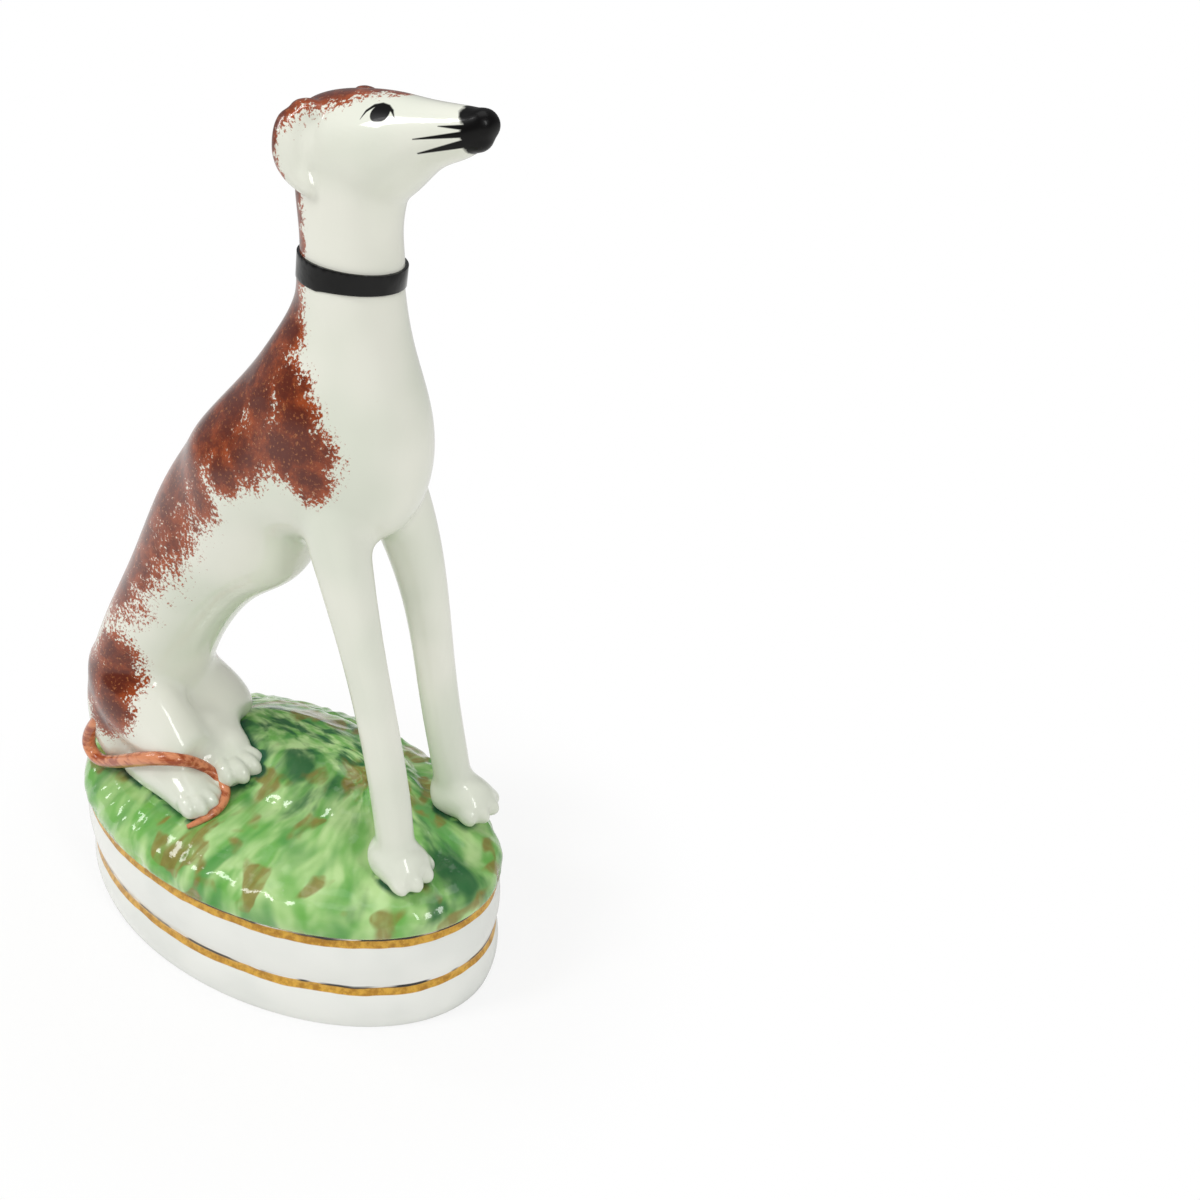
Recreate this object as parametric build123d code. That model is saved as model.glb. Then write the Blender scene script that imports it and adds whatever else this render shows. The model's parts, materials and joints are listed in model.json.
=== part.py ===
from build123d import *
import os

# Seated hound on an oval plinth, press-moulded in sections and luted together in glazed earthenware.
# The nose points to +X, the side with the curled tail is -Y, and +Z is up.
# The origin is the centre of the underside. All lengths are in millimetres.

# Driving sizes of the plinth
plinth_length = 155.0
plinth_width = 93.0
lower_tier_height = 15.7
upper_tier_height = 18.0
groove_height = 1.2
groove_depth = 1.4
plinth_wall_thickness = 6.0
floor_thickness = 4.0
vent_diameter = 6.0
vent_offset = 34.0

# Driving sizes of the grass mound and the knoll under the belly
mound_rise = 17.0
mound_wall_thickness = 6.0
knoll_length = 104.0
knoll_width = 56.0
knoll_rise = 10.5
knoll_offset_x = -3.0
knoll_offset_y = 9.0

# Driving sizes of the hound
hound_height = 211.0
body_wall_thickness = 5.0
collar_width = 6.0
collar_thickness = 0.5
tail_width = 4.0
tail_thickness = 3.6
tail_turn_x = 0.5
tail_turn_z = 0.6

# Heights and half sizes that follow from the driving sizes
ground_rise_share = 0.77
plinth_height = lower_tier_height + upper_tier_height + groove_height * 2
ground_height = plinth_height + mound_rise * ground_rise_share
half_length = plinth_length / 2
half_width = plinth_width / 2


def place(x_share, y_share, z_share):
    """Point of the hound, from shares of its height above the ground."""
    return Vector(x_share * hound_height, y_share * hound_height, ground_height + z_share * hound_height)


def oval(height, inset=0):
    """Level oval face that follows the plinth's outline."""
    return Plane.XY.offset(height) * Ellipse(half_length - inset, half_width - inset)


def main_solid(shape):
    """The largest solid that is left after a cut."""
    return max(shape.solids(), key=lambda solid: solid.volume)


# Plinth wall: a hollow oval ring of two swelling tiers with a narrow groove above each

def swelling_tier(bottom, height):
    """Solid oval tier that swells by the groove depth at its middle."""
    faces = [
        oval(bottom, groove_depth),
        oval(bottom + height / 2),
        oval(bottom + height, groove_depth),
    ]
    return loft(faces)


def groove_core(bottom):
    """Straight oval core at a groove."""
    return extrude(oval(bottom, groove_depth), groove_height)


def make_plinth_wall():
    upper_bottom = lower_tier_height + groove_height
    outside = swelling_tier(0, lower_tier_height) + groove_core(lower_tier_height)
    outside += swelling_tier(upper_bottom, upper_tier_height) + groove_core(upper_bottom + upper_tier_height)
    inside = extrude(oval(0, groove_depth + plinth_wall_thickness), plinth_height)
    return outside - inside


def make_plinth_floor():
    plate = extrude(oval(0, groove_depth + plinth_wall_thickness), floor_thickness)
    vent = Pos(vent_offset, 0, 0) * Cylinder(
        vent_diameter / 2, floor_thickness, align=(Align.CENTER, Align.CENTER, Align.MIN)
    )
    return plate - vent


# Grass mound: an oval dome whose edge bulges over the upper groove, with a knoll behind the belly

rim_shares = [
    # size of the oval, height above the plinth
    (0.984, 0.00),
    (1.004, 0.16),
    (0.994, 0.32),
    (0.945, 0.52),
    (0.840, 0.68),
]

crown_shares = [
    (0.840, 0.680),
    (0.720, 0.765),
    (0.590, 0.840),
    (0.450, 0.900),
]

knoll_shares = [
    # size of the oval, height between the plinth and the knoll's top
    (1.00, 0.00),
    (0.97, 0.40),
    (0.86, 0.66),
    (0.69, 0.80),
    (0.50, 0.91),
    (0.30, 1.00),
]

cavity_shares = [
    (1.00, 0.00),
    (0.90, 0.60),
    (0.60, 1.00),
]


def oval_stack(shares, length_radius, width_radius, rise):
    """Level ovals of a shrinking size, one above the other."""
    return [Pos(0, 0, height * rise) * Ellipse(length_radius * size, width_radius * size) for size, height in shares]


def make_mound():
    rim = loft(oval_stack(rim_shares, half_length, half_width, mound_rise))
    crown = loft(oval_stack(crown_shares, half_length, half_width, mound_rise))
    knoll_height = mound_rise * ground_rise_share + knoll_rise
    knoll = loft(oval_stack(knoll_shares, knoll_length / 2, knoll_width / 2, knoll_height))
    return Pos(0, 0, plinth_height) * (rim + crown + Pos(knoll_offset_x, knoll_offset_y, 0) * knoll)


def mound_cavity():
    """Hollow under the mound, over the hollow of the plinth."""
    inset = groove_depth + mound_wall_thickness
    rise = (mound_rise - mound_wall_thickness) * crown_shares[-1][1]
    faces = oval_stack(cavity_shares, half_length - inset, half_width - inset, rise)
    return Pos(0, 0, plinth_height) * loft(faces, ruled=True)


# Hound's body: two hollow moulded halves that meet on a seam down the back and belly

body_shares = [
    (-0.289, 0.009, -0.171, -0.033, -0.040, 0.081),
    (-0.310, 0.081, -0.161, 0.033, -0.040, 0.095),
    (-0.291, 0.175, -0.147, 0.114, -0.038, 0.095),
    (-0.261, 0.251, -0.121, 0.180, -0.033, 0.088),
    (-0.211, 0.346, -0.081, 0.246, -0.026, 0.083),
    (-0.161, 0.448, -0.021, 0.313, -0.019, 0.083),
    (-0.100, 0.543, 0.057, 0.379, -0.009, 0.090),
    (-0.031, 0.623, 0.152, 0.455, -0.002, 0.097),
    (0.019, 0.678, 0.227, 0.502, 0.002, 0.097),
    (0.047, 0.713, 0.249, 0.583, 0.002, 0.088),
    (0.071, 0.749, 0.239, 0.649, 0.002, 0.073),
    (0.085, 0.787, 0.218, 0.720, 0.001, 0.063),
    (0.091, 0.810, 0.209, 0.785, 0.000, 0.059),
]

neck_shares = [
    (0.091, 0.810, 0.209, 0.785, 0.000, 0.059),
    (0.092, 0.848, 0.208, 0.829, 0.000, 0.058),
    (0.088, 0.886, 0.212, 0.867, 0.000, 0.058),
    (0.088, 0.915, 0.223, 0.905, 0.000, 0.055),
    (0.118, 0.948, 0.199, 0.948, 0.000, 0.043),
]

head_shares = [
    (0.085, 0.948, 0.085, 0.905, 0.000, 0.017),
    (0.095, 0.967, 0.095, 0.886, 0.000, 0.038),
    (0.123, 0.982, 0.123, 0.867, 0.000, 0.055),
    (0.171, 0.991, 0.175, 0.863, 0.000, 0.058),
    (0.218, 0.993, 0.227, 0.886, 0.000, 0.052),
    (0.256, 0.991, 0.265, 0.915, 0.000, 0.041),
    (0.289, 0.991, 0.287, 0.929, 0.000, 0.033),
    (0.315, 0.991, 0.309, 0.941, 0.000, 0.027),
    (0.331, 0.989, 0.323, 0.952, 0.000, 0.021),
    (0.341, 0.982, 0.337, 0.963, 0.000, 0.012),
]


def slice_frame(row):
    """Plane across the hound through a top and a bottom point, with its half depth and half width."""
    top_x, top_z, bottom_x, bottom_z, middle_y, width = row
    top = place(top_x, middle_y, top_z)
    bottom = place(bottom_x, middle_y, bottom_z)
    rise = top - bottom
    along = Vector(rise.Z, 0, -rise.X)
    frame = Plane(origin=(top + bottom) / 2, x_dir=(0, 1, 0), z_dir=along)
    return frame, rise.length / 2, width * hound_height


def oval_slice(row, wall=0):
    frame, depth, width = slice_frame(row)
    return frame * Ellipse(width - wall, depth - wall)


def make_body():
    """Outer form of the body, filled."""
    return loft([oval_slice(row) for row in body_shares])


def body_cavity():
    """Hollow inside the body, which stops short of the rump and the neck."""
    return loft([oval_slice(row, body_wall_thickness) for row in body_shares[1:-2]])


def body_halves(body):
    """The two moulded halves, parted on an upright plane along the spine."""
    rump = slice_frame(body_shares[0])[0].origin
    neck = slice_frame(body_shares[-1])[0].origin
    along = Vector(neck.X - rump.X, neck.Y - rump.Y, 0)
    seam = Plane(origin=rump, x_dir=along, z_dir=along.cross(Vector(0, 0, 1)))
    right = split(body, bisect_by=seam, keep=Keep.TOP)
    left = split(body, bisect_by=seam, keep=Keep.BOTTOM)
    return main_solid(right), main_solid(left)


def make_head():
    return loft([oval_slice(row) for row in neck_shares]) + loft([oval_slice(row) for row in head_shares])


# Limbs: lofts along a bent line of stations, cut where they meet what carries them

thigh_right_shares = [
    (-0.237, -0.066, 0.190, 0.043, 0.028),
    (-0.227, -0.083, 0.156, 0.062, 0.047),
    (-0.199, -0.092, 0.123, 0.069, 0.052),
    (-0.156, -0.095, 0.095, 0.062, 0.047),
    (-0.116, -0.095, 0.073, 0.047, 0.043),
    (-0.085, -0.092, 0.062, 0.028, 0.033),
]

thigh_left_shares = [
    (-0.242, -0.019, 0.180, 0.043, 0.038),
    (-0.232, -0.009, 0.142, 0.062, 0.062),
    (-0.204, -0.005, 0.109, 0.071, 0.066),
    (-0.171, 0.002, 0.085, 0.066, 0.066),
    (-0.135, 0.009, 0.071, 0.052, 0.057),
    (-0.107, 0.012, 0.062, 0.033, 0.038),
]

hind_foot_right_shares = [
    (-0.199, -0.104, 0.009, 0.028, 0.028),
    (-0.156, -0.109, 0.019, 0.036, 0.033),
    (-0.109, -0.116, 0.024, 0.036, 0.034),
    (-0.066, -0.123, 0.019, 0.031, 0.033),
    (-0.040, -0.128, 0.012, 0.024, 0.030),
    (-0.024, -0.130, 0.005, 0.014, 0.021),
]

hind_foot_left_shares = [
    (-0.194, 0.000, 0.014, 0.028, 0.028),
    (-0.152, -0.009, 0.028, 0.040, 0.037),
    (-0.109, -0.024, 0.033, 0.043, 0.038),
    (-0.069, -0.038, 0.028, 0.036, 0.036),
    (-0.043, -0.047, 0.019, 0.027, 0.033),
    (-0.024, -0.053, 0.009, 0.014, 0.024),
]

foreleg_right_shares = [
    (0.137, -0.040, 0.583, 0.043, 0.033),
    (0.175, -0.055, 0.436, 0.037, 0.034),
    (0.214, -0.061, 0.299, 0.028, 0.027),
    (0.245, -0.064, 0.166, 0.027, 0.026),
    (0.262, -0.066, 0.047, 0.027, 0.026),
    (0.262, -0.066, -0.024, 0.028, 0.028),
]

foreleg_left_shares = [
    (0.137, 0.047, 0.583, 0.043, 0.033),
    (0.182, 0.069, 0.436, 0.040, 0.036),
    (0.209, 0.078, 0.299, 0.030, 0.029),
    (0.226, 0.084, 0.166, 0.028, 0.028),
    (0.240, 0.095, 0.047, 0.028, 0.028),
    (0.240, 0.095, -0.024, 0.031, 0.031),
]

forepaw_right_shares = [
    (0.235, -0.066, 0.014, 0.028, 0.028),
    (0.256, -0.066, 0.024, 0.036, 0.033),
    (0.276, -0.066, 0.019, 0.033, 0.036),
    (0.294, -0.066, 0.012, 0.025, 0.034),
    (0.303, -0.066, 0.007, 0.017, 0.026),
]

forepaw_left_shares = [
    (0.218, 0.095, 0.014, 0.028, 0.028),
    (0.242, 0.097, 0.025, 0.038, 0.034),
    (0.268, 0.100, 0.022, 0.034, 0.036),
    (0.289, 0.102, 0.013, 0.025, 0.035),
    (0.299, 0.103, 0.009, 0.017, 0.026),
]

tail_shares = [
    (-0.232, -0.126, 0.090, 1.000),
    (-0.263, -0.125, 0.052, 1.000),
    (-0.275, -0.125, 0.019, 1.000),
    (-0.256, -0.130, 0.001, 1.000),
    (-0.220, -0.135, 0.013, 1.000),
    (-0.182, -0.138, 0.034, 0.970),
    (-0.142, -0.140, 0.057, 0.940),
    (-0.107, -0.139, 0.073, 0.920),
    (-0.083, -0.126, 0.074, 0.900),
    (-0.073, -0.104, 0.059, 0.870),
    (-0.064, -0.089, 0.040, 0.830),
    (-0.045, -0.084, 0.026, 0.800),
    (-0.026, -0.095, 0.016, 0.750),
    (-0.016, -0.121, 0.010, 0.680),
    (-0.021, -0.145, 0.005, 0.600),
    (-0.031, -0.164, 0.000, 0.400),
]


def stations(points):
    """Planes across a bent line of points."""
    last = len(points) - 1
    planes = []
    for index, point in enumerate(points):
        ahead = points[min(index + 1, last)] - points[max(index - 1, 0)]
        planes.append(Plane(origin=point, x_dir=(0, 1, 0), z_dir=ahead))
    return planes


def limb(rows):
    """Loft of ovals across a bent line."""
    points = [place(x, y, z) for x, y, z, depth, width in rows]
    faces = []
    for plane, row in zip(stations(points), rows):
        faces.append(plane * Ellipse(row[4] * hound_height, row[3] * hound_height))
    return loft(faces)


def make_tail():
    """Loft along the curl of the tail, with its broad side turned outwards."""
    facing = Vector(tail_turn_x, -1, tail_turn_z)
    points = [place(x, y, z) for x, y, z, size in tail_shares]
    last = len(points) - 1
    faces = []
    for index, row in enumerate(tail_shares):
        ahead = points[min(index + 1, last)] - points[max(index - 1, 0)]
        across = ahead.cross(facing)
        plane = Plane(origin=points[index], x_dir=across, z_dir=ahead)
        faces.append(plane * Ellipse(tail_width / 2 * row[3], tail_thickness / 2 * row[3]))
    return loft(faces, ruled=True)


# Ears: flat flaps with thin edges, laid back along the sides of the skull

ear_shares = [
    (0.133, 0.047, 0.972, 0.014, 0.009),
    (0.122, 0.056, 0.953, 0.025, 0.012),
    (0.121, 0.061, 0.927, 0.027, 0.012),
    (0.125, 0.063, 0.903, 0.025, 0.011),
    (0.135, 0.062, 0.884, 0.018, 0.010),
    (0.147, 0.059, 0.868, 0.009, 0.007),
]


def make_ear(side):
    """Loft of lens-shaped slices down the ear."""
    points = [place(x, y * side, z) for x, y, z, depth, thickness in ear_shares]
    faces = []
    for plane, row in zip(stations(points), ear_shares):
        depth = row[3] * hound_height
        thickness = row[4] * hound_height
        outer = ThreePointArc((0, -depth), (thickness, 0), (0, depth))
        inner = ThreePointArc((0, depth), (-thickness, 0), (0, -depth))
        faces.append(plane * make_face(Wire([outer, inner])))
    return loft(faces)


# Collar: a flat band round the neck, raised above it

def make_collar():
    frame, depth, width = slice_frame(neck_shares[0])
    band = frame.offset(-collar_width / 2) * Ellipse(width + collar_thickness, depth + collar_thickness)
    return extrude(band, collar_width)


def cut(shape, others):
    """What is left of a shape beside the pieces that it is luted to."""
    for other in others:
        shape = shape - other
    return main_solid(shape)


def build():
    mound = make_mound()
    body = make_body()
    head = make_head()
    right_half, left_half = body_halves(body - mound - body_cavity())
    carried = [body, mound]
    parts = {
        "plinth_wall": make_plinth_wall(),
        "plinth_floor": make_plinth_floor(),
        "grass_mound": mound - mound_cavity(),
        "body_right_half": right_half,
        "body_left_half": left_half,
        "head": head,
        "collar": cut(make_collar(), [head, body]),
        "ear_right": cut(make_ear(-1), [head]),
        "ear_left": cut(make_ear(1), [head]),
        "foreleg_right": cut(limb(foreleg_right_shares) + limb(forepaw_right_shares), carried),
        "foreleg_left": cut(limb(foreleg_left_shares) + limb(forepaw_left_shares), carried),
        "thigh_right": cut(limb(thigh_right_shares), carried),
    }
    parts["thigh_left"] = cut(limb(thigh_left_shares), carried + [parts["thigh_right"]])
    thighs = [parts["thigh_right"], parts["thigh_left"]]
    parts["hind_foot_right"] = cut(limb(hind_foot_right_shares), carried + thighs)
    parts["hind_foot_left"] = cut(limb(hind_foot_left_shares), carried + thighs + [parts["hind_foot_right"]])
    feet = [parts["hind_foot_right"], parts["hind_foot_left"]]
    parts["tail"] = cut(make_tail(), carried + thighs + feet)
    return parts


os.makedirs("parts", exist_ok=True)
for name, shape in build().items():
    export_step(shape, "parts/" + name + ".step")
    print(name, round(shape.volume, 1), len(shape.solids()))
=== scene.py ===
import bpy
import json
import math
import numpy as np
from mathutils import Matrix, Vector, noise
from mathutils.bvhtree import BVHTree

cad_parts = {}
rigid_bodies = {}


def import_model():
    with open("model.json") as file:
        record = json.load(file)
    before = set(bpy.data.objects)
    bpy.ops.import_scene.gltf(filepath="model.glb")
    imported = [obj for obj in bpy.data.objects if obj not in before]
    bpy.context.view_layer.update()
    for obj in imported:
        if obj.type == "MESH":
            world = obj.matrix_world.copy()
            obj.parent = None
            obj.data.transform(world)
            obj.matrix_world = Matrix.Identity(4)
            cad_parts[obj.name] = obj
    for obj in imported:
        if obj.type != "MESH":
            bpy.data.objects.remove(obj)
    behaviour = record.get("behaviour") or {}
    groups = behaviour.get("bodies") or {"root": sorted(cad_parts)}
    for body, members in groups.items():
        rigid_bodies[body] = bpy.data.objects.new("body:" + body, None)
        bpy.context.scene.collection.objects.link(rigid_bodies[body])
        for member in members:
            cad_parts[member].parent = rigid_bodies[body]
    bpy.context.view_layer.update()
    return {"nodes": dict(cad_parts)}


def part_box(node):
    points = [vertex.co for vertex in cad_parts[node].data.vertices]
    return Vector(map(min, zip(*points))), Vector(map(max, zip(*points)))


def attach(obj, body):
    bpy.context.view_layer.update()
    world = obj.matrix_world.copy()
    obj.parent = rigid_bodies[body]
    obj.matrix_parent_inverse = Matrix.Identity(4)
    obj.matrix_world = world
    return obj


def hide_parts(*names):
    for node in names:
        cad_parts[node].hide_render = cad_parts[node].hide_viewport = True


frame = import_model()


# Camera: stands in front of the nose, on the side with the curled tail, and looks down
# on the figure, which fills the left half of the square frame as in the photograph.

MM = 0.001
camera_place = (0.22384, -0.22406, 0.29407)
camera_axes = Matrix((
    # columns: to the camera's right, up, and back
    (0.8616, -0.3074, 0.4038),
    (0.5011, 0.3891, -0.7730),
    (0.0805, 0.8684, 0.4892),
))

camera_data = bpy.data.cameras.new("camera")
camera_data.lens = 36.0
camera_data.sensor_width = 36.0
camera_data.clip_start = 0.01
camera = bpy.data.objects.new("camera", camera_data)
bpy.context.scene.collection.objects.link(camera)
camera.matrix_world = Matrix.Translation(camera_place) @ camera_axes.to_4x4()
bpy.context.scene.camera = camera
bpy.context.scene.view_settings.view_transform = "Standard"


# Studio light: a softbox high on the left, tall windows on the right and behind the tail, and
# a broad panel above, in a pale room that the glaze reflects.

def softbox(name, place, target, width, height, power):
    """Rectangular area lamp that faces a point."""
    lamp = bpy.data.lights.new(name, "AREA")
    lamp.shape = "RECTANGLE"
    lamp.size = width
    lamp.size_y = height
    lamp.energy = power
    holder = bpy.data.objects.new(name, lamp)
    holder.location = place
    holder.rotation_euler = (Vector(target) - Vector(place)).to_track_quat("-Z", "Y").to_euler()
    bpy.context.scene.collection.objects.link(holder)


chest = (0, 0, 0.12)
softbox("left_softbox", (-0.5, -0.72, 1.12), chest, width=0.26, height=0.5, power=6.0)
softbox("right_window", (0.95, -0.35, 0.75), chest, width=0.2, height=0.5, power=3.6)
softbox("back_window", (-1.0, -0.25, 0.6), chest, width=0.14, height=0.4, power=1.6)
softbox("top_panel", (0.05, 0.1, 1.3), (0, 0, 0.1), width=0.8, height=0.8, power=3.0)


def node(tree, kind, settings=None, *values, **links):
    """Add a shader node. Settings are its properties. Values fill its enabled inputs in order and
    links fill them by name: with a number, a socket, or a node, which gives its first output."""
    made = tree.nodes.new(kind)
    for key, value in (settings or {}).items():
        setattr(made, key, value)
    filled = list(zip((socket for socket in made.inputs if socket.enabled), values))
    filled += [(made.inputs[key.replace("_", " ")], value) for key, value in links.items()]
    for socket, value in filled:
        if isinstance(value, bpy.types.Node):
            value = next(output for output in value.outputs if output.enabled)
        if isinstance(value, bpy.types.NodeSocket):
            tree.links.new(value, socket)
        else:
            socket.default_value = value
    return made


# The room lights the figure evenly, looks dimmer in its glaze, and is white to the camera.
world = bpy.data.worlds.new("white_room")
bpy.context.scene.world = world
world.use_nodes = True
tree = world.node_tree
tree.nodes.clear()
ray = node(tree, "ShaderNodeLightPath")
seen = node(
    tree, "ShaderNodeMath", {"operation": "MAXIMUM"},
    ray.outputs["Is Camera Ray"], ray.outputs["Is Transmission Ray"],
)
lit_room = node(tree, "ShaderNodeBackground", Color=(1, 1, 1, 1), Strength=0.44)
mirror_room = node(tree, "ShaderNodeBackground", Color=(0.97, 0.98, 1, 1), Strength=0.24)
white_room = node(tree, "ShaderNodeBackground", Color=(1, 1, 1, 1), Strength=1.0)
room = node(tree, "ShaderNodeMixShader", None, ray.outputs["Is Glossy Ray"], lit_room, mirror_room)
room = node(tree, "ShaderNodeMixShader", None, seen, room, white_room)
node(tree, "ShaderNodeOutputWorld", Surface=room)


# Floor: a plain pale sweep of matt paper under the plinth. It keeps a soft shadow of the
# figure, which fades into the white room a hand's width away.

paper_size = 8.0
below_plinth = 0.0002
shadow_starts_to_fade = 0.08
shadow_gone = 0.15
smooth = {"interpolation_type": "SMOOTHSTEP"}


def hex_colour(code):
    """Linear colour from an sRGB hex value."""
    shares = [int(code[i:i + 2], 16) / 255 for i in (1, 3, 5)]
    linear = [s / 12.92 if s <= 0.04045 else ((s + 0.055) / 1.055) ** 2.4 for s in shares]
    return (*linear, 1.0)


bpy.ops.object.select_all(action="DESELECT")
bpy.ops.mesh.primitive_plane_add(size=paper_size, location=(0, 0, -below_plinth))
floor = bpy.context.object
floor.name = "paper_floor"

# Uncoated paper: flat white without shine. The camera sees white, and a faint shadow near by.
paper = bpy.data.materials.new("matt_paper")
paper.use_nodes = True
tree = paper.node_tree
tree.nodes.clear()
ray = node(tree, "ShaderNodeLightPath")
matt = node(tree, "ShaderNodeBsdfDiffuse", Color=hex_colour("#F4F4F2"))
glow = node(tree, "ShaderNodeEmission", Color=(1, 1, 1, 1), Strength=1.0)
place = node(tree, "ShaderNodeTexCoord").outputs["Object"]
reach = node(tree, "ShaderNodeVectorMath", {"operation": "LENGTH"}, place)
fade = node(tree, "ShaderNodeMapRange", smooth, reach, shadow_starts_to_fade, shadow_gone, 0.8, 1.0)
share = node(tree, "ShaderNodeMath", {"operation": "MULTIPLY"}, ray.outputs["Is Camera Ray"], fade)
surface = node(tree, "ShaderNodeMixShader", None, share, matt, glow)
node(tree, "ShaderNodeOutputMaterial", Surface=surface)
floor.data.materials.append(paper)


# Plinth: a hollow oval earthenware ring of two swelling tiers under a clear lead glaze, with
# a gilt line brushed round each groove. Its floor plate is unglazed where it dried on the bat.

gilt_lines = (
    # height of each line's middle, and half its width
    (15.2 * MM, 1.5 * MM),
    (34.2 * MM, 1.45 * MM),
)
rgba = {"data_type": "RGBA"}


def new_finish(name):
    """Empty material, its tree, and the place of each point in metres."""
    finish = bpy.data.materials.new(name)
    finish.use_nodes = True
    finish.node_tree.nodes.clear()
    place = node(finish.node_tree, "ShaderNodeTexCoord").outputs["Object"]
    return finish, finish.node_tree, place


def glaze(tree, colour, ripple, roughness=0.3, coat=0.8):
    """Fired clay under a clear glaze: a soft body colour under a sharp, wet-looking coat."""
    shader = node(
        tree, "ShaderNodeBsdfPrincipled",
        Base_Color=colour, Roughness=roughness, IOR=1.5, Specular_IOR_Level=0.15,
        Coat_Weight=coat, Coat_Roughness=0.04, Coat_IOR=1.42, Normal=ripple, Coat_Normal=ripple,
    )
    node(tree, "ShaderNodeOutputMaterial", Surface=shader)


# Lead-glazed white earthenware, dipped, with brushed gilding: an even cool white under a wet
# shine, and gold that wavers and is rubbed thin in spots. A dark band along the top of each gilt
# line, broken up by noise, is a painted dark reflection of the gold in its groove.
cloud_size = 30 * MM
waver_length = 14 * MM
waver_height = 1.6 * MM
rub_size = 3 * MM
wear_length = 17 * MM
# half width of the painted dark reflection along the top of each gilt line
dark_reflection_half_width = 0.7 * MM
pool_size = 22 * MM
gilt_glaze, tree, place = new_finish("gilt_lined_white_glaze")
cloud = node(tree, "ShaderNodeTexNoise", Vector=place, Scale=1 / cloud_size)
cloud = node(tree, "ShaderNodeMapRange", smooth, cloud, 0.35, 0.65)
white = node(tree, "ShaderNodeMix", rgba, cloud, hex_colour("#E6E8E3"), hex_colour("#F0F1EC"))
height = node(tree, "ShaderNodeSeparateXYZ", Vector=place).outputs["Z"]
waver = node(tree, "ShaderNodeTexNoise", Vector=place, Scale=1 / waver_length)
waver = node(tree, "ShaderNodeMath", {"operation": "SUBTRACT"}, waver, 0.5)
waver = node(tree, "ShaderNodeMath", {"operation": "MULTIPLY"}, waver, waver_height)
level = node(tree, "ShaderNodeMath", {"operation": "ADD"}, height, waver)
lines = 0.0
painted_dark_reflection = 0.0
for line_height, half_width in gilt_lines:
    away = node(tree, "ShaderNodeMath", {"operation": "SUBTRACT"}, level, line_height)
    away = node(tree, "ShaderNodeMath", {"operation": "ABSOLUTE"}, away)
    line = node(tree, "ShaderNodeMapRange", smooth, away, half_width, half_width * 0.8)
    # Painted dark reflection: a thin dark band along the top edge of each gilt line.
    above = node(tree, "ShaderNodeMath", {"operation": "SUBTRACT"}, level, line_height + half_width)
    above = node(tree, "ShaderNodeMath", {"operation": "ABSOLUTE"}, above)
    dark_reflection_line = node(tree, "ShaderNodeMapRange", smooth, above, dark_reflection_half_width, dark_reflection_half_width / 2)
    lines = node(tree, "ShaderNodeMath", {"operation": "MAXIMUM"}, lines, line)
    painted_dark_reflection = node(tree, "ShaderNodeMath", {"operation": "MAXIMUM"}, painted_dark_reflection, dark_reflection_line)
rub = node(tree, "ShaderNodeTexNoise", Vector=place, Scale=1 / rub_size, Detail=4.0, Roughness=0.7)
bright = node(tree, "ShaderNodeMapRange", smooth, rub, 0.35, 0.65)
gold = node(tree, "ShaderNodeMix", rgba, bright, hex_colour("#B07A12"), hex_colour("#E0AC3A"))
thin = node(tree, "ShaderNodeMapRange", smooth, rub, 0.22, 0.32, 0.75, 1.0)
lines = node(tree, "ShaderNodeMath", {"operation": "MULTIPLY"}, lines, thin)
colour = node(tree, "ShaderNodeMix", rgba, lines, white, gold)
# Noise breaks the painted dark reflection into lengths, then it darkens the colour.
dark_reflection_breaks = node(tree, "ShaderNodeTexNoise", Vector=place, Scale=1 / wear_length)
dark_reflection_breaks = node(tree, "ShaderNodeMapRange", smooth, dark_reflection_breaks, 0.44, 0.52)
painted_dark_reflection = node(tree, "ShaderNodeMath", {"operation": "MULTIPLY"}, painted_dark_reflection, dark_reflection_breaks)
colour = node(tree, "ShaderNodeMix", rgba, painted_dark_reflection, colour, hex_colour("#1E1A12"))
pool = node(tree, "ShaderNodeTexNoise", Vector=place, Scale=1 / pool_size, Detail=3.0)
ripple = node(tree, "ShaderNodeBump", Height=pool, Strength=0.25, Distance=1.2 * MM)
glaze(tree, colour, ripple)
plinth = frame["nodes"]["plinth_wall"]
plinth.data.materials.clear()
plinth.data.materials.append(gilt_glaze)

# Bare biscuit earthenware, fired on a bat: dry, buff and gritty, with darker stains.
grit_size = 1.2 * MM
stain_size = 18 * MM
bare_clay, tree, place = new_finish("bare_earthenware")
grit = node(
    tree, "ShaderNodeTexNoise", Vector=place, Scale=1 / grit_size, Detail=4.0, Roughness=0.7,
)
stain = node(tree, "ShaderNodeTexNoise", Vector=place, Scale=1 / stain_size, Detail=3.0)
stain = node(tree, "ShaderNodeMapRange", smooth, stain, 0.35, 0.7)
colour = node(tree, "ShaderNodeMix", rgba, stain, hex_colour("#D9D2BF"), hex_colour("#C4B594"))
rough_clay = node(tree, "ShaderNodeBump", Height=grit, Strength=0.4, Distance=0.2 * MM)
shader = node(
    tree, "ShaderNodeBsdfPrincipled", Base_Color=colour, Roughness=0.85, Normal=rough_clay,
)
node(tree, "ShaderNodeOutputMaterial", Surface=shader)
plate = frame["nodes"]["plinth_floor"]
plate.data.materials.clear()
plate.data.materials.append(bare_clay)


# Grass mound: a pressed earthenware dome with tufts modelled as furrows that fan out from its
# crest to a lobed rim, brushed with greens and ochre under a thick glaze and luted to the ring.

crest_start = -30 * MM
crest_end = 24 * MM
crest_side = 13 * MM
crest_round = 9 * MM
mound_voxel = 0.85 * MM
seat_height = 0.5 * MM
furrow_spacing = 7 * MM
furrow_length = 22 * MM
furrows_round = 5
furrow_sharpness = 2.2
fine_furrows = 2.3
lump_size = 11 * MM
crest_to_full_relief = 30 * MM
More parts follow.
